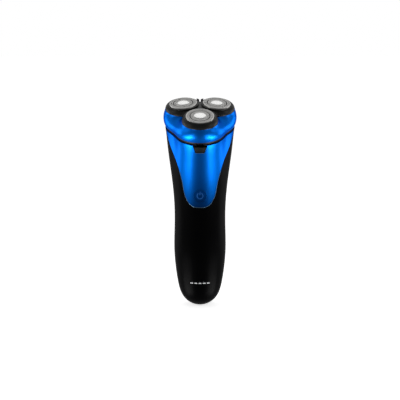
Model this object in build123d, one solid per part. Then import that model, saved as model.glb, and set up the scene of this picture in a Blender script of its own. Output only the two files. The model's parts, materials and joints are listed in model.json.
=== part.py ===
# Electric shaver with three rotary cutters: a two-shell handle with a blue front panel, a drive of one
# pinion and three gears under a deck plate, a head that opens backwards, and a pop-up trimmer at the back.
# Frame: +Z up the handle, the front faces -Y, the origin is the centre of the foot pad's lower face.
from build123d import *
import math
import os

# Handle
WALL = 2.0               # shell thickness
DOME_R = 16.5            # radius of the rounded base
FOOT_R = 4.4             # half width of the flat under the base
FOOT_CUT = DOME_R - math.sqrt(DOME_R ** 2 - FOOT_R ** 2)
DEPTH = 0.92             # depth of the grip as a share of its width
SPLIT_Y = 0.0            # plane where the front and rear shells meet
SHELL_JOINT = 0.05       # half of the hairline between the shells

# Head, measured in its own tilted frame: x right, y backwards, z out through the cutters
HEAD_TILT = 21.0
HEAD_SEAT = (0.0, -1.5, 143.5)       # on the head's axis, in the middle of the parting groove
GROOVE = 1.45                        # half height of the groove between head and handle
SHELL_TOP = 12.8                     # upper edge of the blue head shell
PLATE_TOP = 16.7                     # flat top of the black head plate
FACE = 18.0                          # shaving face of the outer cutters
LOBE_ANGLES = (-90.0, 30.0, 150.0)   # front, right and left cutters

# Drive
MODULE = 0.5
PINION_TEETH = 24
GEAR_TEETH = 34
GEAR_R = MODULE * (PINION_TEETH + GEAR_TEETH) / 2    # head axis to gear axis
GEAR_BOTTOM = -9.0
GEAR_HEIGHT = 2.4
PRESSURE_ANGLE = 20.0
BACKLASH = 0.08
SHAFT_R = 1.0

# Cutters, on axes that lean outwards
CUTTER_LEAN = 4.5
CUTTER_R = 11.0
LEAN_POINT = 7.5                     # height where a cutter's axis crosses its spindle's
CUTTER_TRAVEL = 1.0

# Hinge and latch
HINGE_Y = 23.9
BARREL_R = 1.7
PIN_R = 0.75
KNUCKLE_HALF = 5.8
EAR_END = 9.0

# Panel, buttons and inlet
PANEL_DEPTH = 1.3
PANEL_GAP = 0.15
POWER_Z = 92.0
POWER_R = 4.9
RELEASE_TOP = 132.6
RELEASE_BOTTOM = 126.6
RELEASE_HALF_TOP = 5.6
RELEASE_HALF_BOTTOM = 3.3
INLET_DIP = 50.0                     # degrees that the charging inlet points below level

# Pop-up trimmer
TRIM_HALF = 11.0
TRIM_TOP = 114.5
TRIM_FLOOR_Y = 12.3
TRIM_BOX_WALL = 1.2
TRIM_PIN_Z = 92.5
TRIM_PIN_Y = 14.3
TRIM_FOOT_R = 5.6
TRIM_SWING = 50.0                     # degrees from shut to open

tilt = math.radians(HEAD_TILT)
head_normal = (0.0, -math.sin(tilt), math.cos(tilt))
head_frame = Plane(origin=HEAD_SEAT, x_dir=(1, 0, 0), z_dir=head_normal)


def save(shape, node):
    export_step(shape, "parts/" + node + ".step")


def upright(x, y, z, radius, height):
    """Round bar standing on z."""
    return Pos(x, y, z + height / 2) * Cylinder(radius, height)


def prism(x, y, z, radius, height, sides=16):
    """Flat-sided post standing on z, with its corners on the radius."""
    return Pos(x, y, z) * extrude(RegularPolygon(radius, sides), height)


def block(x0, x1, y0, y1, z0, z1):
    return Pos((x0 + x1) / 2, (y0 + y1) / 2, (z0 + z1) / 2) * Box(x1 - x0, y1 - y0, z1 - z0)


def crossbar(x0, x1, y, z, radius):
    """Round bar along x."""
    return Pos((x0 + x1) / 2, y, z) * Rot(0, 90, 0) * Cylinder(radius, x1 - x0)


def in_head(shape):
    return head_frame.location * shape


def polar(radius, degrees):
    return radius * math.cos(math.radians(degrees)), radius * math.sin(math.radians(degrees))


def lobed_face(plane, width, reach, softness, depth=1.0, inset=0.0, count=36):
    """Smooth outline round three lobes whose centres stand out by reach, moved inwards by inset."""
    lobe = width - reach * math.cos(math.radians(30))
    rays = []
    for step in range(count):
        angle = 360.0 * step / count
        total = 0.0
        for centre in LOBE_ANGLES:
            turn = math.radians(angle - centre)
            chord = lobe ** 2 - (reach * math.sin(turn)) ** 2
            total += max(reach * math.cos(turn) + math.sqrt(max(chord, 0.0)), 0.0) ** softness
        rays.append((angle, total ** (1 / softness)))
    # blending the lobes swells the outline a little, so it is brought back to its half width
    scale = width / max(polar(ray, angle)[0] for angle, ray in rays)
    outline = []
    for angle, ray in rays:
        x, y = polar(ray * scale - inset, angle)
        outline.append((x, y * depth))
    return plane.location * make_face(Wire([Spline(outline, periodic=True)]))


# ---- Handle envelope -------------------------------------------------------------------------------------

# centre y, centre z, tilt, half width, lobe reach, softness, depth
GRIP_STATIONS = (
    (0.0, 17.5, 0.0, 17.60, 1.0, 12.0, DEPTH),
    (0.0, 26.5, 0.0, 19.10, 1.8, 12.0, DEPTH),
    (0.0, 37.0, 0.0, 20.25, 2.3, 12.0, DEPTH),
    (0.0, 52.0, 0.0, 20.75, 2.5, 12.0, DEPTH),
    (0.0, 70.0, 0.0, 20.35, 2.5, 12.0, DEPTH),
    (0.0, 88.0, 2.0, 20.90, 3.2, 12.0, DEPTH),
    (0.0, 104.0, 6.0, 22.50, 4.5, 12.0, DEPTH),
    (-0.2, 119.5, 11.0, 24.70, 6.5, 12.0, 0.93),
    (-0.6, 132.0, 17.0, 26.20, 8.2, 12.0, 0.96),
)
DOME_ANGLES = (24.0, 35.0, 48.0, 62.0)


def neck_face(height, inset):
    """Handle section parallel to the head, height above the middle of the groove."""
    return lobed_face(head_frame.offset(height), 27.55 + 0.06 * height, 9.2, 12.0, inset=inset)


def grip_solid(inset=0.0, top=-GROOVE):
    """The handle's outer form, or the same form moved inwards by inset."""
    dome = DOME_R - inset
    middle = DOME_R - FOOT_CUT
    sections = []
    if inset == 0.0:
        sections.append(lobed_face(Plane.XY, FOOT_R, 0.25, 12.0, DEPTH))
    else:
        sections.append(lobed_face(Plane.XY.offset(middle - dome * math.cos(math.radians(15.0))),
                                   dome * math.sin(math.radians(15.0)), 0.2, 12.0, DEPTH))
    for angle in DOME_ANGLES:
        level = middle - dome * math.cos(math.radians(angle))
        width = dome * math.sin(math.radians(angle))
        sections.append(lobed_face(Plane.XY.offset(level), width, 0.9 * width / DOME_R, 12.0, DEPTH))
    for y, z, lean, width, reach, softness, depth in GRIP_STATIONS:
        normal = (0, -math.sin(math.radians(lean)), math.cos(math.radians(lean)))
        plane = Plane(origin=(0, y, z), x_dir=(1, 0, 0), z_dir=normal)
        sections.append(lobed_face(plane, width, reach, softness, depth, inset))
    sections.append(neck_face(top, inset))
    return loft(sections)


# ---- Head envelope ---------------------------------------------------------------------------------------

# height, half width, lobe reach, softness
SHELL_STATIONS = (
    (GROOVE, 27.70, 9.3, 12.0),
    (3.4, 28.45, 10.0, 9.5),
    (6.2, 28.90, 11.3, 6.8),
    (9.4, 28.45, 13.4, 4.4),
    (SHELL_TOP, 27.35, 15.3, 3.2),
)
PLATE_OUTLINE = (27.2, 15.3, 3.2)    # half width, lobe reach and softness at the plate's foot
PLATE_EDGE = ((SHELL_TOP, 0.0), (14.5, 0.35), (15.6, 1.1), (PLATE_TOP, 2.5))    # height, how far it has drawn in


def head_loft(inset=0.0, low=0.0, high=0.0):
    """The blue shell's form in its own frame; low and high move the end sections along the axis."""
    sections = []
    last = len(SHELL_STATIONS) - 1
    for index, (height, width, reach, softness) in enumerate(SHELL_STATIONS):
        level = height - (low if index == 0 else 0.0) + (high if index == last else 0.0)
        sections.append(lobed_face(Plane.XY.offset(level), width, reach, softness, inset=inset))
    return loft(sections)


def plate_face(height, inset=0.0):
    width, reach, softness = PLATE_OUTLINE
    return lobed_face(Plane.XY.offset(height), width, reach, softness, inset=inset)


# ---- Gears -----------------------------------------------------------------------------------------------

def gear_face(teeth, phase):
    """Involute spur gear outline with its first tooth centred at phase degrees."""
    pitch = MODULE * teeth / 2
    base = pitch * math.cos(math.radians(PRESSURE_ANGLE))
    tip = pitch + 0.92 * MODULE
    root = pitch - 1.25 * MODULE
    involute = math.tan(math.radians(PRESSURE_ANGLE)) - math.radians(PRESSURE_ANGLE)
    half = (math.pi * MODULE / 2 - BACKLASH) / 2 / pitch + involute
    flank = []
    for step in range(4):
        radius = max(base, root) + (tip - max(base, root)) * step / 3
        roll = math.acos(min(base / radius, 1.0))
        flank.append((radius, half - (math.tan(roll) - roll)))
    outline = []
    for tooth in range(teeth):
        centre = math.radians(phase + 360.0 * tooth / teeth)
        points = [(root, -flank[0][1])] + [(r, -a) for r, a in flank]
        points += [(r, a) for r, a in reversed(flank)] + [(root, flank[0][1])]
        outline += [(r * math.cos(centre + a), r * math.sin(centre + a)) for r, a in points]
    return make_face(Polyline(*outline, close=True))


def mesh_phase(direction):
    """Angle of a driven gear's first tooth, so that it meshes with the pinion in this direction."""
    past_tooth = (direction * PINION_TEETH / 360.0) % 1.0
    return direction + 180.0 + (past_tooth + 0.5) * 360.0 / GEAR_TEETH


# ---- Handle pieces ---------------------------------------------------------------------------------------

def front_prism(face, near=-60.0, far=-2.0):
    """Solid made by pushing an x, z outline along y through the front of the handle."""
    return Pos(0, far, 0) * extrude(Plane.XZ.location * face, far - near)


def panel_face(grow=0.0):
    """The bib: wide under the head, with a round tip above the grip."""
    side = [(26.4, 139.5), (22.7, 128.3), (18.9, 119.4), (15.8, 110.0), (13.4, 100.0), (11.7, 91.6)]
    tip = [(8.2, 85.3), (0.0, 82.6)]
    right = Spline([(x + grow, z) for x, z in side + tip[:1]] + [(0.0, tip[1][1] - grow)],
                   tangents=[(-1.0, -3.1), (-1.0, 0.0)])
    left = mirror(right, Plane.YZ).edges()
    rise = 30.0
    top = Polyline((-side[0][0] - grow, side[0][1]), (-side[0][0] - grow, side[0][1] + rise),
                   (side[0][0] + grow, side[0][1] + rise), (side[0][0] + grow, side[0][1]))
    return make_face(right.edges() + left + top.edges())


def release_face(grow=0.0, top=RELEASE_TOP):
    """Window for the release button, or the button itself: it widens upwards."""
    spread = (RELEASE_HALF_TOP - RELEASE_HALF_BOTTOM) / (RELEASE_TOP - RELEASE_BOTTOM)
    low = RELEASE_HALF_BOTTOM + grow
    high = low + spread * (top - RELEASE_BOTTOM)
    bottom = RELEASE_BOTTOM - grow
    return make_face(Polyline((-high, top), (-low, bottom), (low, bottom), (high, top), close=True))


def power_face(grow=0.0):
    return Pos(0, POWER_Z) * Circle(POWER_R + grow)


def inlet_frame():
    """Frame of the charging inlet: z points out of the base, backwards and down."""
    dip = math.radians(INLET_DIP)
    out = (0.0, math.cos(dip), -math.sin(dip))
    middle = DOME_R - FOOT_CUT
    reach = DOME_R * 0.955
    return Plane(origin=(0, out[1] * reach, middle + out[2] * reach), x_dir=(1, 0, 0), z_dir=out)


def oval(half_long, half_short, low, high):
    face = SlotOverall(2 * half_long, 2 * half_short)
    return Pos(0, 0, low) * extrude(face, high - low)


class Handle:
    """Outer form, cavity and panel bed, shared by the pieces cut from them."""
    outer = grip_solid()
    cavity = grip_solid(WALL, top=GROOVE)
    bed = grip_solid(PANEL_DEPTH, top=GROOVE)
    inlet = inlet_frame().location


def trimmer_room(grow):
    """Space the trimmer fills: a box above its pin, and a round foot about the pin that it swings on."""
    half = TRIM_HALF + grow
    room = block(-half, half, TRIM_FLOOR_Y - grow, 30, TRIM_PIN_Z, TRIM_TOP + grow)
    foot = crossbar(-half, half, TRIM_PIN_Y, TRIM_PIN_Z, TRIM_FOOT_R + grow)
    return room + (foot & block(-half, half, TRIM_FLOOR_Y - grow, 30, 80, TRIM_PIN_Z + 1))


def make_shells():
    hollow = Handle.outer - Handle.cavity
    front = hollow & block(-40, 40, -60, SPLIT_Y - SHELL_JOINT, -5, 170)
    front -= front_prism(panel_face(PANEL_GAP)) - Handle.bed
    front -= front_prism(release_face(0.25, RELEASE_TOP + 20), far=-15.0)
    front -= front_prism(power_face(0.2), far=-8.0)
    front -= upright(0, 0, -1, FOOT_R - 1.0, 4.0)
    save(front, "front_shell")

    rear = hollow & block(-40, 40, SPLIT_Y + SHELL_JOINT, 60, -5, 170)
    # box behind the trimmer, closed on five sides
    rear += trimmer_room(TRIM_BOX_WALL) & Handle.outer
    rear -= trimmer_room(0.2)
    rear -= Handle.inlet * oval(6.2, 4.4, -14, 6)
    rear -= upright(0, 0, -1, FOOT_R - 1.0, 4.0)
    ears = Part()
    for side in (-1, 1):
        x0, x1 = sorted((side * (KNUCKLE_HALF + 0.2), side * EAR_END))
        ears += crossbar(x0, x1, HINGE_Y, 0, BARREL_R) + block(x0, x1, HINGE_Y - 2.2, HINGE_Y + 1.0, -4, -GROOVE)
    rear += in_head(ears)
    rear -= in_head(crossbar(-KNUCKLE_HALF - 0.2, KNUCKLE_HALF + 0.2, HINGE_Y, 0, BARREL_R + 0.25))
    rear -= in_head(crossbar(-EAR_END - 1, EAR_END + 1, HINGE_Y, 0, PIN_R))
    for side in (-1, 1):
        x0, x1 = sorted((side * (TRIM_HALF - 1.0), side * (TRIM_HALF + 1.0)))
        rear -= crossbar(x0, x1, TRIM_PIN_Y, TRIM_PIN_Z, 0.6)
    save(rear, "rear_shell")


def make_panel():
    panel = (Handle.outer & front_prism(panel_face())) - Handle.bed
    panel -= front_prism(release_face(0.25, RELEASE_TOP + 20), far=-15.0)
    panel -= front_prism(power_face(0.15), far=-8.0)
    save(panel, "front_panel")


def make_foot_pad():
    save(upright(0, 0, 0, FOOT_R - 1.1, 1.6), "foot_pad")


def skin(push, depth):
    """The part of a pushed outline that lies in the handle's outermost layer."""
    return (Handle.outer & push) - grip_solid(depth)


def make_power_button():
    cap = skin(front_prism(power_face(), far=-8.0), 1.1)
    stem = front_prism(Pos(0, POWER_Z) * Circle(1.6), near=-19.0, far=-16.6)
    ring = Pos(0, POWER_Z) * (Circle(2.6) - Circle(2.05))
    ring -= Pos(0, POWER_Z + 2.4) * Rectangle(2.2, 2.4)
    bar = Pos(0, POWER_Z + 1.9) * Rectangle(0.55, 2.6)
    symbol = skin(front_prism(ring, far=-8.0), 0.4) + skin(front_prism(bar, far=-8.0), 0.4)
    save((cap + stem) - symbol, "power_button")
    save(symbol, "power_symbol")


def make_release_button():
    """Finger pad in the front window, with an arm up to the head's catch and a nose on the arm."""
    pad = (grip_solid(0.35) & front_prism(release_face(0, RELEASE_TOP - 1.9), far=-15.0)) - grip_solid(2.2)
    arm = block(-2.6, 2.6, -27.2, -24.2, -5.6, -3.8) + block(-2.6, 2.6, -25.2, -24.2, -5.6, 2.8)
    nose = block(-2.4, 2.4, -26.0, -24.8, 1.75, 2.8)
    save(pad + in_head(arm + nose), "release_button")


def make_inlet():
    pins = Part()
    for x in (-1.95, 1.95):
        pins += upright(x, 0, -12.0, 0.75, 9.3)
    socket = oval(6.0, 4.2, -10.5, 5.0) - oval(4.3, 2.9, -8.5, 6.0) - pins
    save((Handle.inlet * socket) & Handle.outer, "charge_socket")
    save(Handle.inlet * pins, "charge_pins")


# ---- Inside the handle -----------------------------------------------------------------------------------

def make_battery():
    for number, x in enumerate((-7.4, 7.4), start=1):
        cell = upright(x, 0.5, 24.0, 7.1, 48.0) + upright(x, 0.5, 72.0, 2.6, 1.2)
        save(cell, "battery_cell_%d" % number)
    tabs = block(-10.5, 10.5, -2.5, 3.5, 73.3, 73.6) + block(-10.5, 10.5, -2.5, 3.5, 23.6, 23.9)
    save(tabs, "battery_tabs")


def make_chassis():
    plate = block(-12, 12, -9.4, -8.2, 18, 112)
    trays = block(-13.5, 13.5, -9.4, 8.0, 21.4, 23.4) + block(-13.5, 13.5, -9.4, 8.0, 73.9, 75.9)
    rails = Part()
    for side in (-1, 1):
        x0, x1 = sorted((side * 10.4, side * 12.0))
        rails += block(x0, x1, -9.4, -2.0, 76, 112)
    save((plate + trays + rails) & grip_solid(WALL + 0.1), "chassis")


def make_board():
    board = block(-11, 11, -12.2, -10.6, 30, 110)
    save(board, "circuit_board")
    chips = block(-5, 5, -13.6, -12.3, 62, 70) + block(-8, -5, -13.8, -12.3, 46, 50)
    chips += block(3, 8, -14.1, -12.3, 36, 42) + block(-2, 2, -13.2, -12.3, 104, 107)
    save(chips, "board_parts")
    switch = block(-3, 3, -14.4, -12.3, POWER_Z - 3, POWER_Z + 3)
    switch += front_prism(Pos(0, POWER_Z) * Circle(1.5), near=-15.6, far=-14.4)
    save(switch, "push_switch")


def make_motor():
    can = upright(0, 0, -29, 9.6, 15.6) & block(-12, 12, -7.4, 7.4, -40, 0)
    can += upright(0, 0, -13.4, 3.0, 1.0)
    can -= upright(0, 0, -20, 1.04, 10)
    save(in_head(can), "motor")
    shaft = upright(0, 0, -19.5, SHAFT_R, 19.5 + GEAR_BOTTOM + GEAR_HEIGHT + 0.6)
    save(in_head(shaft), "motor_shaft")
    pinion = Pos(0, 0, GEAR_BOTTOM) * extrude(gear_face(PINION_TEETH, 0.0), GEAR_HEIGHT)
    pinion -= prism(0, 0, -12, SHAFT_R + 0.06, 8)
    save(in_head(pinion), "motor_pinion")


POST_R = 16.4
POST_ANGLES = (90.0, 210.0, 330.0)


def make_gear_plate():
    plate = extrude(lobed_face(Plane.XY.offset(-12.2), 23.6, 7.4, 12.0), 1.8)
    plate -= upright(0, 0, -13, 3.2, 4)
    for angle in POST_ANGLES:
        x, y = polar(POST_R, angle)
        plate += upright(x, y, -10.4, 2.2, 7.7)
        plate -= upright(x, y, -9.0, 1.0, 8.0)
    for angle in LOBE_ANGLES:
        x, y = polar(GEAR_R, angle)
        plate -= upright(x, y, -13, 2.1, 4)
    save(in_head(plate) & grip_solid(WALL + 0.2), "gear_plate")


def make_deck():
    """Plate that closes the handle under the head, with a collar round each spindle."""
    deck = extrude(lobed_face(Plane.XY.offset(-2.6), 25.2, 8.6, 12.0), 1.6)
    for angle in LOBE_ANGLES:
        x, y = polar(GEAR_R, angle)
        deck += upright(x, y, -1.2, 5.6, 1.7)
    for angle in LOBE_ANGLES:
        x, y = polar(GEAR_R, angle)
        deck -= upright(x, y, -3, 4.2, 5)
    for angle in POST_ANGLES:
        x, y = polar(POST_R, angle)
        deck -= upright(x, y, -3, 1.2, 5)
    deck -= block(-3.0, 3.0, -30, -22.3, -3, 2)
    deck -= crossbar(-EAR_END - 0.4, EAR_END + 0.4, HINGE_Y, 0, BARREL_R + 0.3)
    save(in_head(deck) & grip_solid(WALL + 0.15, top=2.0), "deck_plate")
    screws = Part()
    for angle in POST_ANGLES:
        x, y = polar(POST_R, angle)
        head = upright(x, y, -0.95, 2.1, 1.1) - Pos(x, y, 0.1) * Box(3.2, 0.5, 0.8) \
            - Pos(x, y, 0.1) * Box(0.5, 3.2, 0.8)
        screws += head + upright(x, y, -8.0, 0.95, 7.2)
    save(in_head(screws), "deck_screws")


def make_seal():
    """Soft ring that lies on the handle's upper edge, set back in the groove."""
    ring = extrude(lobed_face(Plane.XY.offset(-GROOVE + 0.05), 26.3, 8.9, 12.0), 0.9)
    ring -= extrude(lobed_face(Plane.XY.offset(-2), 25.4, 8.6, 12.0), 3)
    ring -= block(-3.4, 3.4, -40, -20, -3, 3)
    ring -= block(-EAR_END - 1, EAR_END + 1, 18, 40, -3, 3)
    save(in_head(ring), "seal_ring")


def coil(radius, wire, low, high, turns):
    path = Helix((high - low - 2 * wire) / turns, high - low - 2 * wire, radius)
    profile = Plane(origin=path @ 0, z_dir=path % 0) * Circle(wire)
    return Pos(0, 0, low + wire) * sweep(profile, path)


def make_drive():
    for number, angle in enumerate(LOBE_ANGLES, start=1):
        x, y = polar(GEAR_R, angle)
        gear = Pos(x, y, GEAR_BOTTOM) * extrude(gear_face(GEAR_TEETH, mesh_phase(angle)), GEAR_HEIGHT)
        gear += prism(x, y, GEAR_BOTTOM + GEAR_HEIGHT - 0.1, 3.0, 6.0)
        gear += prism(x, y, -12.0, 2.0, 3.1)
        gear -= Pos(x, y, -4.5) * Box(2.7, 2.7, 12.5)
        save(in_head(gear), "drive_gear_%d" % number)
        stem = Pos(x, y, -1.9) * Box(2.5, 2.5, 13.2)
        flange = upright(x, y, 4.6, 3.4, 1.2)
        tip = Pos(x, y, 7.0) * Rot(0, 0, angle) * Box(3.2, 3.2, 2.4)
        spindle = stem + flange + fillet(tip.edges().filter_by(Axis.Z), 0.5)
        save(in_head(spindle), "drive_spindle_%d" % number)
        spring = Pos(x, y, 0) * coil(2.35, 0.25, -0.68, 4.58, 5)
        save(in_head(spring), "spindle_spring_%d" % number)


# ---- Head pieces -----------------------------------------------------------------------------------------

def hinge_relief(radius):
    """Room for the handle's two hinge ears."""
    relief = Part()
    for side in (-1, 1):
        x0, x1 = sorted((side * (KNUCKLE_HALF - 0.05), side * (EAR_END + 0.3)))
        relief += crossbar(x0, x1, HINGE_Y, 0, radius)
    return relief


def make_head_shell():
    shell = head_loft() - head_loft(1.25, low=0.5, high=0.5)
    shell -= hinge_relief(BARREL_R + 0.35)
    shell -= crossbar(-KNUCKLE_HALF, KNUCKLE_HALF, HINGE_Y, 0, BARREL_R + 0.02)
    save(in_head(shell), "head_shell")


def make_carrier():
    """Black inner ring of the head: it has the hinge knuckle and the catch, and its rim fills the groove."""
    outer = head_loft(1.35) & block(-40, 40, -40, 40, 0, 11.4)
    rim = extrude(lobed_face(Plane.XY.offset(-0.3), 27.7, 9.3, 12.0, inset=1.4), GROOVE + 0.35)
    ring = outer + rim
    ring -= head_loft(2.75, low=3.0, high=1.0)
    lip = block(-3.4, 3.4, -27.0, -25.4, 0.5, 1.5)
    ring += lip & head_loft(1.4, low=3.0)
    ring -= hinge_relief(BARREL_R + 0.35)
    ring += crossbar(-KNUCKLE_HALF, KNUCKLE_HALF, HINGE_Y, 0, BARREL_R)
    ring -= crossbar(-KNUCKLE_HALF - 1, KNUCKLE_HALF + 1, HINGE_Y, 0, PIN_R + 0.06)
    save(in_head(ring), "head_carrier")


def make_hinge_pin():
    save(in_head(crossbar(-EAR_END + 0.2, EAR_END - 0.2, HINGE_Y, 0, PIN_R)), "hinge_pin")


def cutter_location(angle):
    """Frame of a cutter: origin in its shaving face, z along its leaning axis, y outwards."""
    lean = math.radians(CUTTER_LEAN)
    radius = GEAR_R + (FACE - LEAN_POINT) * math.tan(lean)
    x, y = polar(radius, angle)
    out_x, out_y = polar(math.sin(lean), angle)
    side_x, side_y = polar(1.0, angle - 90)
    return Plane(origin=(x, y, FACE), x_dir=(side_x, side_y, 0), z_dir=(out_x, out_y, math.cos(lean))).location


def make_head_plate():
    plate = loft([plate_face(height, inset) for height, inset in PLATE_EDGE])
    plate -= extrude(plate_face(SHELL_TOP - 1, 2.0), 3.0)
    # collars guide the cutters, and two small teeth stand in the rear valley
    for angle in LOBE_ANGLES:
        plate += cutter_location(angle) * upright(0, 0, -4.6, 12.2, 3.7)
    for side in (-1, 1):
        plate += Pos(side * 1.6, 15.6, 16.3) * Box(2.1, 2.4, 2.6)
    plate &= extrude(plate_face(SHELL_TOP), 8)
    for angle in LOBE_ANGLES:
        plate -= cutter_location(angle) * upright(0, 0, -9, CUTTER_R + 0.25, 12)
    save(in_head(plate), "head_plate")


def make_cutters():
    for number, angle in enumerate(LOBE_ANGLES, start=1):
        place = cutter_location(angle)
        cup = upright(0, 0, -5.6, CUTTER_R, 5.6)
        cup = fillet(cup.edges().group_by(Axis.Z)[-1], 0.5)
        cup -= upright(0, 0, -6, CUTTER_R - 0.8, 5.1)
        cup -= upright(0, 0, -0.35, 8.0, 1) - upright(0, 0, -0.35, 7.2, 1)
        cup -= upright(0, 0, -0.45, 4.85, 1)
        save(head_frame.location * place * cup, "outer_cutter_%d" % number)
        cap = upright(0, 0, -0.45, 4.75, 0.75)
        cap = fillet(cap.edges().group_by(Axis.Z)[-1], 0.3)
        save(head_frame.location * place * cap, "cutter_cap_%d" % number)
        wheel = upright(0, 0, -3.6, 9.2, 0.9) + upright(0, 0, -11.0, 3.6, 8.0)
        for blade in range(9):
            wheel += Rot(0, 0, 40 * blade) * Pos(7.7, 0, -1.95) * Box(3.0, 0.7, 1.9)
        wheel -= Pos(0, 0, -10.4) * Box(4.3, 4.3, 3.0)
        save(head_frame.location * place * wheel, "inner_cutter_%d" % number)


def make_retainer():
    """Frame that keeps the cutters in the head plate, and the knob that locks it."""
    frame = extrude(lobed_face(Plane.XY.offset(8.0), 24.0, 13.6, 4.0), 1.6)
    for angle in LOBE_ANGLES:
        x, y = polar(GEAR_R + 0.3, angle)
        frame -= upright(x, y, 7, 9.2, 4)
        frame -= upright(x, y, 9.0, 10.6, 4)
    frame += upright(0, 0, 8.0, 4.6, 1.6)
    frame -= upright(0, 0, 7, 2.1, 4)
    save(in_head(frame), "retaining_frame")
    knob = upright(0, 0, 5.2, 4.2, 2.7) + upright(0, 0, 7.8, 2.05, 3.2)
    knob -= Pos(0, 0, 5.5) * Box(1.0, 7.0, 1.4)
    save(in_head(knob), "retaining_knob")


# ---- Trimmer ---------------------------------------------------------------------------------------------

def make_trimmer():
    inner = grip_solid(2.3)
    flap = (Handle.outer & trimmer_room(0.0)) - inner
    ears = Part()
    for side in (-1, 1):
        x0, x1 = sorted((side * (TRIM_HALF - 2.2), side * TRIM_HALF))
        ears += crossbar(x0, x1, TRIM_PIN_Y, TRIM_PIN_Z, 1.5)
        ears += block(x0, x1, TRIM_PIN_Y - 0.4, TRIM_PIN_Y + 2.4, TRIM_PIN_Z - 0.5, TRIM_PIN_Z + 8)
    ears &= Handle.outer
    flap += ears
    flap -= crossbar(-TRIM_HALF - 1, TRIM_HALF + 1, TRIM_PIN_Y, TRIM_PIN_Z, 0.66)
    flap -= block(-4.3, 4.3, 10, 30, 97.0, 107.4)
    # what would push into the floor of the room when the flap is open, turned back to the shut place
    floor = block(-TRIM_HALF - 1, TRIM_HALF + 1, -20, TRIM_FLOOR_Y - TRIM_PIN_Y, -20, 20)
    flap -= Pos(0, TRIM_PIN_Y, TRIM_PIN_Z) * Rot(TRIM_SWING, 0, 0) * floor
    save(flap, "trimmer_flap")
    save(crossbar(-TRIM_HALF - 0.8, TRIM_HALF + 0.8, TRIM_PIN_Y, TRIM_PIN_Z, 0.6), "trimmer_pin")
    slide = (Handle.outer & block(-4.1, 4.1, 10, 30, 97.2, 104.0)) - grip_solid(1.5)
    slide += block(-3.6, 3.6, 14.9, 18.0, 97.8, 103.4) + block(-6.0, 6.0, 14.9, 15.6, 97.8, 103.4)
    for rib in range(4):
        slide += block(-3.0, 3.0, 17.8, 19.4 + 0.1 * rib, 98.4 + 1.4 * rib, 98.9 + 1.4 * rib)
    save(slide, "trimmer_slide")
    comb_y, blade_y, plate_t = 15.1, 14.2, 0.6
    comb = block(-8.9, 8.9, comb_y, comb_y + plate_t, 107.0, 110.6)
    blade = block(-8.0, 8.0, blade_y, blade_y + plate_t, 107.0, 110.4)
    for tooth in range(17):
        x = 1.05 * (tooth - 8)
        comb += block(x - 0.27, x + 0.27, comb_y, comb_y + plate_t, 110.5, 113.9)
    for tooth in range(11):
        x = 1.5 * (tooth - 5)
        blade += block(x - 0.4, x + 0.4, blade_y, blade_y + plate_t, 110.3, 113.4)
    save(comb, "trimmer_comb")
    save(blade, "trimmer_blade")


os.makedirs("parts", exist_ok=True)
make_shells()
make_panel()
make_foot_pad()
make_power_button()
make_release_button()
make_inlet()
make_battery()
make_chassis()
make_board()
make_motor()
make_gear_plate()
make_deck()
make_seal()
make_drive()
make_head_shell()
make_carrier()
make_hinge_pin()
make_head_plate()
make_cutters()
make_retainer()
make_trimmer()
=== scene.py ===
import bpy
import json
import math
from mathutils import Matrix, Vector

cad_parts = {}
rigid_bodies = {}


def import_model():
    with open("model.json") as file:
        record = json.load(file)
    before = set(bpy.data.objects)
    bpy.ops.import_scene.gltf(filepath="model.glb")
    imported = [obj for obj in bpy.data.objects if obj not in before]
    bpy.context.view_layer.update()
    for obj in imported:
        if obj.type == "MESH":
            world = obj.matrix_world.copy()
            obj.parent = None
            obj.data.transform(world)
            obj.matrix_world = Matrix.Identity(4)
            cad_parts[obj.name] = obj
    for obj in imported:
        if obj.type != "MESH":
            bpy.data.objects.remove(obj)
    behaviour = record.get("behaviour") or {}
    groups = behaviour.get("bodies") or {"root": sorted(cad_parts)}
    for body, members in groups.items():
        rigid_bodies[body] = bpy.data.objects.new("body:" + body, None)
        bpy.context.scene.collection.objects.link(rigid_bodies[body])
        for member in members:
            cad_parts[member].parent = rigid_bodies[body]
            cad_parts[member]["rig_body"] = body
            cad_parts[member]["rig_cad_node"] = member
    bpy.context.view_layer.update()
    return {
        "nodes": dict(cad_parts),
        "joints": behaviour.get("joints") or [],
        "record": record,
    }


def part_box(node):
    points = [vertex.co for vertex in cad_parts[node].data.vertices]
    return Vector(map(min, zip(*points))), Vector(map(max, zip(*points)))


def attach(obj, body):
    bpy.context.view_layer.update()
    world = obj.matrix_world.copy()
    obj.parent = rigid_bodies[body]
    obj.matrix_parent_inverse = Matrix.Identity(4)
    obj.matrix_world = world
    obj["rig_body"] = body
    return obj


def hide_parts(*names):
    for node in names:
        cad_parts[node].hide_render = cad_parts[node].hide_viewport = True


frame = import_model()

mm = 0.001
nodes = frame["nodes"]
joints = {joint["name"]: joint for joint in frame["joints"]}
cutterNumbers = (1, 2, 3)


# Shader sockets as values: maths on a Signal adds Math nodes
class Signal:
    def __init__(self, recipe, socket):
        self.recipe = recipe
        self.socket = socket

    def maths(self, operation, first, second):
        return self.recipe.node("ShaderNodeMath", {"operation": operation}, {0: first, 1: second})

    def __add__(self, other):
        return self.maths("ADD", self, other)

    def __sub__(self, other):
        return self.maths("SUBTRACT", self, other)

    def __mul__(self, other):
        return self.maths("MULTIPLY", self, other)

    def __radd__(self, other):
        return self.maths("ADD", other, self)

    def __rsub__(self, other):
        return self.maths("SUBTRACT", other, self)

    def __rmul__(self, other):
        return self.maths("MULTIPLY", other, self)


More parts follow.
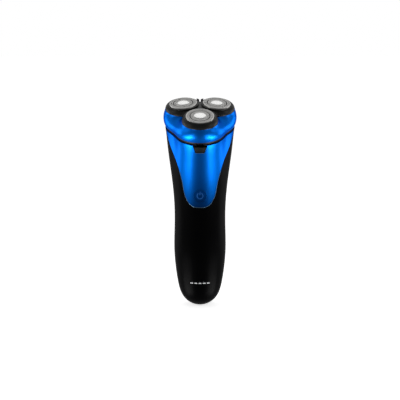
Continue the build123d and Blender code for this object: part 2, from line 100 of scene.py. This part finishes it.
# A material in the making, or the world's nodes
class Recipe:
    def __init__(self, name, **constants):
        self.material = bpy.data.materials.new(name)
        self.material.use_nodes = True
        self.tree = self.material.node_tree
        self.shader = self.tree.nodes["Principled BSDF"]
        self.feed(constants)
        self.place = self.node("ShaderNodeTexCoord", out="Object")

    @classmethod
    def onTree(cls, tree):
        recipe = cls.__new__(cls)
        recipe.tree = tree
        return recipe

    def node(self, kind, settings=None, values=None, out=0):
        made = self.tree.nodes.new(kind)
        for key, value in (settings or {}).items():
            setattr(made, key, value)
        for key, value in (values or {}).items():
            if isinstance(value, Signal):
                self.tree.links.new(value.socket, made.inputs[key])
            else:
                made.inputs[key].default_value = value
        return Signal(self, made.outputs[out])

    def feed(self, values):
        for key, value in values.items():
            if isinstance(value, Signal):
                self.tree.links.new(value.socket, self.shader.inputs[key])
            else:
                self.shader.inputs[key].default_value = value

    def noise(self, scale, detail=2.0, vector=None):
        return self.node("ShaderNodeTexNoise", {},
                         {"Vector": vector or self.place, "Scale": scale, "Detail": detail})

    def mix(self, amount, first, second):
        return self.node("ShaderNodeMix", {"data_type": "RGBA"}, {0: amount, 6: first, 7: second}, out=2)

    def bump(self, height, strength, distance):
        return self.node("ShaderNodeBump", {}, {"Height": height, "Strength": strength, "Distance": distance})


def rgb(red, green, blue):
    return (red, green, blue, 1.0)


blueLacquerLook = {
    "bright": rgb(0.0015, 0.180, 0.82),
    "deep": rgb(0.0015, 0.145, 0.68),
    "edgeTint": rgb(0.03, 0.45, 1.0),
    "flakeScale": 7000.0,        # flakes of about 0.15 mm
    "flakeShare": 0.10,          # how much of the roughness follows the flakes
    "flakeMix": 0.4,             # how much of the colour follows the flakes, with the rest from the drift
    "flakeBump": 0.10,
    "flakeDepth": 0.02,
    "driftScale": 45.0,
    "driftShare": 0.05,
    "roughness": 0.35,
    "coat": 0.03,
    "coatRoughness": 0.2,
    "fade": (70.0, 118.0),       # heights between which the blue goes from its painted shade at the tip to its full colour
    # share of the deep blue left at the panel's tip: painted shade
    "darkest": 0.22,
}


def makeBlueLacquer(name, look):
    recipe = Recipe(name, Metallic=1.0)
    flakes = recipe.noise(look["flakeScale"], 1.0)
    drift = recipe.noise(look["driftScale"], 3.0)
    height = recipe.node("ShaderNodeSeparateXYZ", {}, {0: recipe.place}, out="Z")
    # The blue is darker towards the bottom: painted shade standing in for less light on the lower panel
    low, high = look["fade"]
    full = recipe.node("ShaderNodeMapRange", {"interpolation_type": "SMOOTHSTEP"},
                       {"Value": height, "From Min": low * mm, "From Max": high * mm})
    share = drift * (1 - look["flakeMix"]) + flakes * look["flakeMix"]
    colour = recipe.mix(share, look["deep"], look["bright"])
    paintedShadeColour = rgb(*(part * look["darkest"] for part in look["deep"][:3]))
    colour = recipe.mix(full, paintedShadeColour, colour)
    recipe.feed({
        "Base Color": colour,
        "Roughness": (look["roughness"] + (flakes - 0.5) * look["flakeShare"]
                      + (drift - 0.5) * look["driftShare"]),
        "Specular Tint": look["edgeTint"],
        "Coat Weight": look["coat"],
        "Coat Roughness": look["coatRoughness"],
        "Normal": recipe.bump(flakes, look["flakeBump"], look["flakeDepth"] * mm),
    })
    return recipe.material


plasticLooks = {
    "blackShell": {"colour": rgb(0.0009, 0.0009, 0.0011), "roughness": 0.36, "grain": 1400.0,
                   "depth": 0.02, "specular": 0.02},
    "headBlack": {"colour": rgb(0.0110, 0.0112, 0.0108), "roughness": 0.36, "grain": 1500.0,
                  "depth": 0.02, "specular": 0.20},
    "carrierBlack": {"colour": rgb(0.004, 0.005, 0.008), "roughness": 0.46, "grain": 1600.0,
                     "depth": 0.03, "specular": 0.3},
    "releaseKey": {"colour": rgb(0.0055, 0.0065, 0.0045), "roughness": 0.48, "grain": 2200.0,
                   "depth": 0.05, "specular": 0.3},
    "symbolPrint": {"colour": rgb(0.012, 0.105, 0.40), "roughness": 0.35, "grain": 1500.0,
                    "depth": 0.01, "specular": 0.4},
    "knobGrey": {"colour": rgb(0.20, 0.21, 0.22), "roughness": 0.5, "grain": 1500.0,
                 "depth": 0.05, "specular": 0.4},
    "sealRubber": {"colour": rgb(0.008, 0.008, 0.010), "roughness": 0.72, "grain": 1800.0,
                   "depth": 0.08, "specular": 0.3},
    "deckPlastic": {"colour": rgb(0.030, 0.031, 0.034), "roughness": 0.55, "grain": 1500.0,
                    "depth": 0.05, "specular": 0.4},
    "framePlastic": {"colour": rgb(0.35, 0.36, 0.37), "roughness": 0.55, "grain": 1200.0,
                     "depth": 0.05, "specular": 0.4},
    "gearPlastic": {"colour": rgb(0.80, 0.79, 0.73), "roughness": 0.42, "grain": 1500.0,
                    "depth": 0.02, "specular": 0.45},
    "trimmerBlack": {"colour": rgb(0.0035, 0.0035, 0.004), "roughness": 0.30, "grain": 1400.0,
                     "depth": 0.02, "specular": 0.35},
    "trimmerGrip": {"colour": rgb(0.020, 0.020, 0.022), "roughness": 0.6, "grain": 2400.0,
                    "depth": 0.08, "specular": 0.35},
    "inletPlastic": {"colour": rgb(0.015, 0.015, 0.016), "roughness": 0.5, "grain": 1600.0,
                     "depth": 0.05, "specular": 0.4},
    "cellSleeve": {"colour": rgb(0.03, 0.22, 0.10), "roughness": 0.28, "grain": 300.0,
                   "depth": 0.05, "specular": 0.5},
    "boardLaminate": {"colour": rgb(0.01, 0.11, 0.04), "roughness": 0.35, "grain": 900.0,
                      "depth": 0.03, "specular": 0.5},
    "boardBlack": {"colour": rgb(0.02, 0.02, 0.02), "roughness": 0.55, "grain": 1600.0,
                   "depth": 0.04, "specular": 0.4},
    "slotShadow": {"colour": rgb(0.010, 0.010, 0.010), "roughness": 0.7, "grain": 1800.0,
                   "depth": 0.02, "specular": 0.2},
    "markPrint": {"colour": rgb(0.62, 0.63, 0.65), "roughness": 0.5, "grain": 2500.0,
                  "depth": 0.02, "specular": 0.4},
}


# Wear that all the plastics share
plasticWear = {"cloudScale": 60.0, "cloudShare": 0.12, "grainShare": 0.06, "paler": 1.35, "bump": 0.35}


def makePlastic(name, look):
    recipe = Recipe(name, **{"Specular IOR Level": look["specular"]})
    grain = recipe.noise(look["grain"], 2.0)
    cloud = recipe.noise(plasticWear["cloudScale"], 3.0)
    tone = rgb(*(part * plasticWear["paler"] for part in look["colour"][:3]))
    recipe.feed({
        "Base Color": recipe.mix(cloud, look["colour"], tone),
        "Roughness": (look["roughness"] + (cloud - 0.5) * plasticWear["cloudShare"]
                      + (grain - 0.5) * plasticWear["grainShare"]),
        "Normal": recipe.bump(grain, plasticWear["bump"], look["depth"] * mm),
    })
    return recipe.material


metalLooks = {
    "springSteel": {"colour": rgb(0.55, 0.55, 0.56), "roughness": 0.28, "streak": (3000.0, 3000.0, 300.0)},
    "pinionBrass": {"colour": rgb(0.70, 0.50, 0.20), "roughness": 0.30, "streak": (900.0, 900.0, 2500.0)},
    "pinSteel": {"colour": rgb(0.60, 0.60, 0.61), "roughness": 0.25, "streak": (2500.0, 300.0, 2500.0)},
    "motorSteel": {"colour": rgb(0.50, 0.50, 0.51), "roughness": 0.36, "streak": (700.0, 700.0, 120.0)},
    "bladeSteel": {"colour": rgb(0.50, 0.50, 0.51), "roughness": 0.30, "streak": (1600.0, 1600.0, 400.0)},
    "trimmerSteel": {"colour": rgb(0.55, 0.55, 0.56), "roughness": 0.28, "streak": (300.0, 2500.0, 2500.0)},
    "inletPins": {"colour": rgb(0.75, 0.70, 0.55), "roughness": 0.25, "streak": (1800.0, 1800.0, 1800.0)},
    # lighter than the panel's blue: painted highlight on the panel's edge bead
    "panelEdge": {"colour": rgb(0.22, 0.42, 0.62), "roughness": 0.34, "streak": (900.0, 900.0, 900.0)},
    "cellTabs": {"colour": rgb(0.60, 0.60, 0.58), "roughness": 0.34, "streak": (200.0, 2200.0, 2200.0)},
}


# Wear that all the metals share
metalWear = {"smudgeScale": 90.0, "smudgeShare": 0.12, "streakShare": 0.15, "worn": 0.72,
             "bump": 0.3, "depth": 0.01}


def makeMetal(name, look):
    recipe = Recipe(name, Metallic=1.0)
    stretched = recipe.node("ShaderNodeMapping", {}, {"Vector": recipe.place, "Scale": look["streak"]})
    streaks = recipe.noise(1.0, 3.0, stretched)
    smudge = recipe.noise(metalWear["smudgeScale"], 3.0)
    worn = rgb(*(part * metalWear["worn"] for part in look["colour"][:3]))
    recipe.feed({
        "Base Color": recipe.mix(streaks * 0.5 + smudge * 0.5, worn, look["colour"]),
        "Roughness": (look["roughness"] + (streaks - 0.5) * metalWear["streakShare"]
                      + (smudge - 0.5) * metalWear["smudgeShare"]),
        "Normal": recipe.bump(streaks, metalWear["bump"], metalWear["depth"] * mm),
    })
    return recipe.material


# Metal turned on a lathe: fine rings about the cutter's own axis, read from its "ring" attribute
ringLooks = {
    "cutterSteel": {"dark": rgb(0.26, 0.258, 0.25), "light": rgb(0.66, 0.655, 0.64), "roughness": 0.32,
                    "rings": 5200.0},
    "capBright": {"dark": rgb(0.66, 0.66, 0.65), "light": rgb(0.88, 0.88, 0.87), "roughness": 0.24,
                  "rings": 4200.0},
}


# Wear that the turned metals share
ringWear = {"smudgeScale": 260.0, "smudgeShare": 0.12, "lineShare": 0.18, "lineMix": 0.65,
            "bump": 0.35, "depth": 0.012}


def makeRinged(name, look):
    recipe = Recipe(name, Metallic=1.0)
    radius = recipe.node("ShaderNodeAttribute", {"attribute_name": "ring"}, out="Fac")
    lines = recipe.node("ShaderNodeTexNoise", {"noise_dimensions": "1D"},
                        {"W": radius, "Scale": look["rings"], "Detail": 2.0}, out=0)
    smudge = recipe.noise(ringWear["smudgeScale"], 3.0)
    share = lines * ringWear["lineMix"] + smudge * (1 - ringWear["lineMix"])
    recipe.feed({
        "Base Color": recipe.mix(share, look["dark"], look["light"]),
        "Roughness": (look["roughness"] + (lines - 0.5) * ringWear["lineShare"]
                      + (smudge - 0.5) * ringWear["smudgeShare"]),
        "Normal": recipe.bump(lines, ringWear["bump"], ringWear["depth"] * mm),
    })
    return recipe.material


finishes = {name: makePlastic(name, look) for name, look in plasticLooks.items()}
finishes.update({name: makeMetal(name, look) for name, look in metalLooks.items()})
finishes.update({name: makeRinged(name, look) for name, look in ringLooks.items()})
finishes["bluePanel"] = makeBlueLacquer("bluePanel", blueLacquerLook)
# The key's blue gets the same painted shade towards the bottom as the panel
finishes["blueKey"] = makeBlueLacquer("blueKey", dict(blueLacquerLook, roughness=0.30))
print("materials:", len(finishes))

# A record slot such as black_shell takes the finish called blackShell
slotOf = {part["node"]: part["material_slot"] for part in frame["record"]["subparts"]}


def camel(words):
    first, *rest = words.split("_")
    return first + "".join(word.capitalize() for word in rest)


def dress(piece, finish):
    if not piece.data.materials:
        piece.data.materials.append(finish)
    for place in piece.material_slots:
        place.material = finish


for nodeName, node in nodes.items():
    dress(node, finishes[camel(slotOf[nodeName])])
print("CAD pieces dressed")


# Modelling helpers
def deselect():
    if bpy.context.object and bpy.context.object.mode != "OBJECT":
        bpy.ops.object.mode_set(mode="OBJECT")
    bpy.ops.object.select_all(action="DESELECT")


def choose(piece):
    deselect()
    piece.select_set(True)
    bpy.context.view_layer.objects.active = piece


def pickFaces(piece, test):
    choose(piece)
    bpy.ops.object.mode_set(mode="EDIT")
    bpy.ops.mesh.select_mode(type="FACE")
    bpy.ops.mesh.select_all(action="DESELECT")
    bpy.ops.object.mode_set(mode="OBJECT")
    for face in piece.data.polygons:
        face.select = test(face)
    bpy.ops.object.mode_set(mode="EDIT")


def applyAll(piece):
    choose(piece)
    for modifier in list(piece.modifiers):
        bpy.ops.object.modifier_apply(modifier=modifier.name)
    bpy.ops.object.transform_apply(location=True, rotation=True, scale=True)


def copyOf(piece, name):
    twin = piece.copy()
    twin.data = piece.data.copy()
    twin.name = twin.data.name = name
    bpy.context.scene.collection.objects.link(twin)
    return twin


def addRings(piece):
    choose(piece)
    radius = piece.data.attributes.new("ring", "FLOAT", "POINT")
    radius.data.foreach_set("value", [vertex.co.xy.length for vertex in piece.data.vertices])


# Frame of a cutter: origin in its shaving face, z along its axis
def cutterPlace(number):
    spin = joints["blade_spin_%d" % number]
    axis = Vector(spin["axis"]).normalized()
    base = Vector(spin["pos_m"])
    reach = max((vertex.co - base).dot(axis) for vertex in nodes["outer_cutter_%d" % number].data.vertices)
    return Matrix.Translation(base + axis * reach) @ axis.to_track_quat("Z", "Y").to_matrix().to_4x4()


outerCutter = {
    "radius": 11.0, "height": 5.6, "wall": 0.8, "hollow": 5.0,
    "teeth": 144,                # every second one is a slot
    "rim": ((0.12, 0.30), (0.33, 0.14), (0.25, 0.0)),    # steps: how far in, and how far up
    "outerSlots": 1.95, "groove": (0.08, 0.36), "grooveWidth": 0.75, "innerSlots": 1.75,
    "land": 0.2, "seat": (0.08, 0.42),
    "slotDepth": 0.3, "slotEdge": 0.02, "slant": 9.0, "smooth": 25.0,
}


def insetTop(thickness, depth=0.0):
    bpy.ops.mesh.inset(thickness=thickness * mm, depth=depth * mm, use_boundary=True, use_even_offset=True)


def makeOuterCutter():
    size = outerCutter
    rimRise = sum(depth for step, depth in size["rim"])
    body = size["height"] - rimRise
    deselect()
    bpy.ops.mesh.primitive_cylinder_add(vertices=size["teeth"], radius=size["radius"] * mm, depth=body * mm,
                                        location=(0, 0, (-rimRise - body / 2) * mm))
    cutter = bpy.context.object
    cutter.name = "outerCutter"
    applyAll(cutter)
    pickFaces(cutter, lambda face: face.normal.z > 0.9)
    for step, depth in size["rim"]:
        insetTop(step, depth)
    radius = size["radius"] - sum(step for step, depth in size["rim"])
    slotZones = []
    for width in (size["outerSlots"], size["innerSlots"]):
        slotZones.append((radius - width, radius))
        insetTop(width)
        turnInside(size["slant"])
        radius -= width
        insetTop(size["land"])
        radius -= size["land"]
        if width == size["outerSlots"]:
            lip, drop = size["groove"]
            insetTop(lip, -drop)
            insetTop(size["grooveWidth"])
            insetTop(lip, drop)
            insetTop(size["land"])
            radius -= 2 * lip + size["grooveWidth"] + size["land"]
    insetTop(size["seat"][0], -size["seat"][1])
    cutSlots(cutter, slotZones)
    hollowOut(cutter)
    addRings(cutter)
    choose(cutter)
    bpy.ops.object.shade_smooth_by_angle(angle=math.radians(size["smooth"]))
    return cutter


# The slots lean, because everything inside them is turned a little
def turnInside(degrees):
    bpy.ops.transform.rotate(value=math.radians(degrees), orient_axis="Z", center_override=(0, 0, 0))


# A face is cut when it lies in the shaving face, in the middle of a slot zone, and every second one is left
def cutSlots(cutter, zones):
    step = 360.0 / outerCutter["teeth"]
    skin = 0.1 * mm          # how far below the shaving face still counts as the face
    offCentre = 0.2          # how far from the zone's middle a slot's own middle may be

    def isSlot(face):
        centre = face.center
        if face.normal.z < 0.9 or centre.z < -skin or len(face.vertices) != 4:
            return False
        distance = centre.xy.length / mm
        if not any(abs(distance - (inner + outer) / 2) <= offCentre for inner, outer in zones):
            return False
        turn = math.degrees(math.atan2(centre.y, centre.x)) % 360.0
        return int(turn / step) % 2 == 0

    pickFaces(cutter, isSlot)
    bpy.ops.mesh.inset(thickness=outerCutter["slotEdge"] * mm, use_individual=True)
    bpy.ops.mesh.extrude_region_move(TRANSFORM_OT_translate={"value": (0, 0, -outerCutter["slotDepth"] * mm)})
    cutter.data.materials.append(finishes["cutterSteel"])
    cutter.data.materials.append(finishes["slotShadow"])
    cutter.active_material_index = 1
    bpy.ops.object.material_slot_assign()
    # The groove's floor gets the same dark finish as the slots: painted shadow in the groove
    floor = -outerCutter["groove"][1] * mm
    pickFaces(cutter, lambda face: face.normal.z > 0.9 and abs(face.center.z - floor) < 0.03 * mm)
    bpy.ops.object.material_slot_assign()


def hollowOut(cutter):
    pickFaces(cutter, lambda face: face.normal.z < -0.9 and len(face.vertices) > 8)
    bpy.ops.mesh.inset(thickness=outerCutter["wall"] * mm)
    bpy.ops.mesh.extrude_region_move(TRANSFORM_OT_translate={"value": (0, 0, outerCutter["hollow"] * mm)})


# Steps inwards over the cap's top: how far in, and how far up
cutterCap = {"radius": 4.72, "bottom": 0.42, "top": 0.02, "sides": 96, "smooth": 30.0,
             "steps": ((0.10, 0.07), (0.34, 0.15), (0.12, 0.03), (0.60, 0.015), (0.07, -0.05), (0.10, 0.0),
                       (0.07, 0.05), (1.2, 0.02), (1.2, 0.005))}


def makeCutterCap():
    size = cutterCap
    deselect()
    bpy.ops.mesh.primitive_cylinder_add(vertices=size["sides"], radius=size["radius"] * mm,
                                        depth=(size["bottom"] + size["top"]) * mm,
                                        location=(0, 0, (size["top"] - size["bottom"]) / 2 * mm))
    cap = bpy.context.object
    cap.name = "cutterCap"
    applyAll(cap)
    pickFaces(cap, lambda face: face.normal.z > 0.9)
    for step, depth in size["steps"]:
        insetTop(step, depth)
    addRings(cap)
    choose(cap)
    bpy.ops.object.shade_smooth_by_angle(angle=math.radians(size["smooth"]))
    cap.data.materials.append(finishes["capBright"])
    return cap


def placeCutters():
    cutter, cap = makeOuterCutter(), makeCutterCap()
    for master, node, slot in ((cutter, "outer_cutter", "cutter_steel"), (cap, "cutter_cap", "cap_bright")):
        for number in cutterNumbers:
            piece = copyOf(master, "%s%d" % (camel(node), number))
            piece.matrix_world = cutterPlace(number)
            applyAll(piece)
            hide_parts("%s_%d" % (node, number))
            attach(piece, "cutter_%d" % number)
        bpy.data.objects.remove(master)


placeCutters()
print("cutters modelled")


# Rounded bead along the blue panel's edge: real geometry, its colour lighter than the blue as a painted
# highlight on the edge
panelEdge = {"thickness": 0.16, "sharp": 40.0, "top": 127.0, "clearButton": 6.0, "facing": 0.35,
             "merge": 0.002, "rounding": 2}


def makePanelEdge():
    size = panelEdge
    edge = copyOf(nodes["front_panel"], "panelEdge")
    edge.parent = None
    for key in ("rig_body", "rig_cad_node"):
        del edge[key]
    choose(edge)
    bpy.ops.object.mode_set(mode="EDIT")
    bpy.ops.mesh.select_all(action="SELECT")
    bpy.ops.mesh.remove_doubles(threshold=size["merge"] * mm)
    bpy.ops.mesh.select_mode(type="EDGE")
    bpy.ops.mesh.select_all(action="DESELECT")
    bpy.ops.mesh.edges_select_sharp(sharpness=math.radians(size["sharp"]))
    bpy.ops.object.mode_set(mode="OBJECT")
    mesh = edge.data
    powerCentre = sum(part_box("power_button"), Vector()) / 2
    outward = set()
    for face in mesh.polygons:
        if face.normal.y < -size["facing"]:
            outward.update(face.edge_keys)
    for link in mesh.edges:
        middle = (mesh.vertices[link.vertices[0]].co + mesh.vertices[link.vertices[1]].co) / 2
        fromButton = Vector((middle.x, middle.z - powerCentre.z)).length
        link.select = (link.select and link.key in outward and middle.z < size["top"] * mm
                       and fromButton > size["clearButton"] * mm)
    bpy.ops.object.mode_set(mode="EDIT")
    bpy.ops.mesh.select_all(action="INVERT")
    bpy.ops.mesh.delete(type="EDGE")
    bpy.ops.object.mode_set(mode="OBJECT")
    bpy.ops.object.convert(target="CURVE")
    edge.data.bevel_depth = size["thickness"] * mm
    edge.data.bevel_resolution = size["rounding"]
    edge.data.use_fill_caps = True
    bpy.ops.object.convert(target="MESH")
    bpy.ops.object.shade_smooth()
    edge.data.materials.clear()
    edge.data.materials.append(finishes["panelEdge"])
    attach(edge, "handle")


makePanelEdge()
print("panel edge made")


# Row of plain bars near the foot
gripMark = {"height": 21.0, "bars": 5, "wide": 2.2, "gap": 1.1, "tall": 0.85,
            "ahead": 30.0, "cuts": 7, "lift": 0.03, "thick": 0.05}


def makeGripMark():
    size = gripMark
    pitch = size["wide"] + size["gap"]
    bars = []
    for index in range(size["bars"]):
        across = (index - (size["bars"] - 1) / 2) * pitch
        deselect()
        bpy.ops.mesh.primitive_plane_add(size=1.0, rotation=(math.radians(90), 0, 0),
                                         location=(across * mm, -size["ahead"] * mm, size["height"] * mm))
        bar = bpy.context.object
        bar.scale = (size["wide"] * mm, size["tall"] * mm, 1.0)
        bpy.ops.object.transform_apply(location=True, rotation=True, scale=True)
        bpy.ops.object.mode_set(mode="EDIT")
        bpy.ops.mesh.subdivide(number_cuts=size["cuts"])
        bpy.ops.object.mode_set(mode="OBJECT")
        bars.append(bar)
    deselect()
    for bar in bars:
        bar.select_set(True)
    bpy.context.view_layer.objects.active = bars[0]
    bpy.ops.object.join()
    mark = bpy.context.object
    mark.name = mark.data.name = "gripMark"
    wrap = mark.modifiers.new("wrap", "SHRINKWRAP")
    wrap.target = nodes["front_shell"]
    wrap.wrap_method = "PROJECT"
    wrap.use_project_y = True
    wrap.use_positive_direction = True
    wrap.use_negative_direction = False
    wrap.offset = size["lift"] * mm
    thick = mark.modifiers.new("thick", "SOLIDIFY")
    thick.thickness = size["thick"] * mm
    thick.offset = 0.0
    applyAll(mark)
    mark.data.materials.append(finishes["markPrint"])
    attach(mark, "handle")


makeGripMark()
print("mark made")


# Studio: a pale floor, softboxes at the sides, larger ones below them, and a soft top light
studio = {
    "box": {"turn": 66.0, "distance": 0.75, "height": 0.36, "wide": 0.30, "tall": 0.50, "power": 0.7},
    "low": {"turn": 67.0, "distance": 0.60, "height": -0.42, "wide": 0.50, "tall": 0.27, "power": 4.2},
    "rim": {"turn": 108.0, "distance": 0.70, "height": 0.12, "wide": 0.30, "tall": 0.40, "power": 0.8},
    "top": {"place": (0, 0.45, 0.75), "wide": 0.7, "tall": 0.5, "power": 0.7},
    "aim": (0, 0, 0.09),
    "floorSize": 12.0, "floorPaint": 0.90, "floorGlow": 0.72, "floorRoughness": 0.9, "floorSpecular": 0.1,
    "frontGlow": 0.14, "backGlow": 0.52, "glowFrom": -0.55, "glowTo": 0.3, "backdrop": 1.0,
}


def grey(level):
    return rgb(level, level, level)


def aimAt(thing, target):
    direction = Vector(target) - thing.location
    thing.rotation_euler = direction.to_track_quat("-Z", "Y").to_euler()


def addLight(name, place, kind):
    light = bpy.data.lights.new(name, "AREA")
    light.shape = "RECTANGLE"
    light.size, light.size_y = kind["wide"], kind["tall"]
    light.energy = kind["power"]
    lamp = bpy.data.objects.new(name, light)
    lamp.location = place
    lamp.visible_camera = False
    bpy.context.scene.collection.objects.link(lamp)
    aimAt(lamp, studio["aim"])


# Place of a side light: a turn from the front, and a distance from the handle's axis
def aroundFront(side, kind):
    turn = math.radians(kind["turn"])
    return (side * math.sin(turn) * kind["distance"], -math.cos(turn) * kind["distance"], kind["height"])


def makeLights():
    for side, word in ((-1, "Left"), (1, "Right")):
        for kind in ("box", "low", "rim"):
            addLight(kind + word, aroundFront(side, studio[kind]), studio[kind])
    addLight("topLight", studio["top"]["place"], studio["top"])


# Only the camera sees the floor, so light also reaches the shaver from below it
def makeFloor():
    deselect()
    bpy.ops.mesh.primitive_plane_add(size=studio["floorSize"])
    floor = bpy.context.object
    floor.name = "floor"
    floor.visible_diffuse = floor.visible_glossy = floor.visible_shadow = False
    paint = Recipe("floorPaint", Roughness=studio["floorRoughness"])
    paint.feed({
        "Base Color": grey(studio["floorPaint"]),
        "Emission Color": grey(1.0),
        "Emission Strength": studio["floorGlow"],
        "Specular IOR Level": studio["floorSpecular"],
    })
    floor.data.materials.append(paint.material)


# Plain world: brighter behind and above the shaver than in front of it
def makeWorld():
    world = bpy.data.worlds.new("studioWorld")
    world.use_nodes = True
    air = Recipe.onTree(world.node_tree)
    direction = air.node("ShaderNodeTexCoord", out="Generated")
    depth = air.node("ShaderNodeSeparateXYZ", {}, {0: direction}, out="Y")
    share = air.node("ShaderNodeMapRange", {},
                     {"Value": depth, "From Min": studio["glowFrom"], "From Max": studio["glowTo"]})
    glow = air.mix(share, grey(studio["frontGlow"]), grey(studio["backGlow"]))
    seen = air.node("ShaderNodeLightPath", out="Is Camera Ray")
    backdrop = air.mix(seen, glow, grey(studio["backdrop"]))
    world.node_tree.links.new(backdrop.socket, world.node_tree.nodes["Background"].inputs["Color"])
    bpy.context.scene.world = world


camera = {"distance": 0.8, "elevation": 10.0, "height": 0.0853, "lens": 90.0, "sensor": 36.0,
          "clip": (0.01, 50.0)}


def makeCamera():
    size = camera
    rise = math.radians(size["elevation"])
    data = bpy.data.cameras.new("camera")
    data.lens = size["lens"]
    data.sensor_width = size["sensor"]
    data.clip_start, data.clip_end = size["clip"]
    eye = bpy.data.objects.new("camera", data)
    eye.location = (0, -size["distance"] * math.cos(rise), size["height"] + size["distance"] * math.sin(rise))
    bpy.context.scene.collection.objects.link(eye)
    aimAt(eye, (0, 0, size["height"]))
    bpy.context.scene.camera = eye


makeLights()
makeFloor()
makeWorld()
makeCamera()
bpy.context.scene.view_settings.view_transform = "Standard"
print("studio ready")
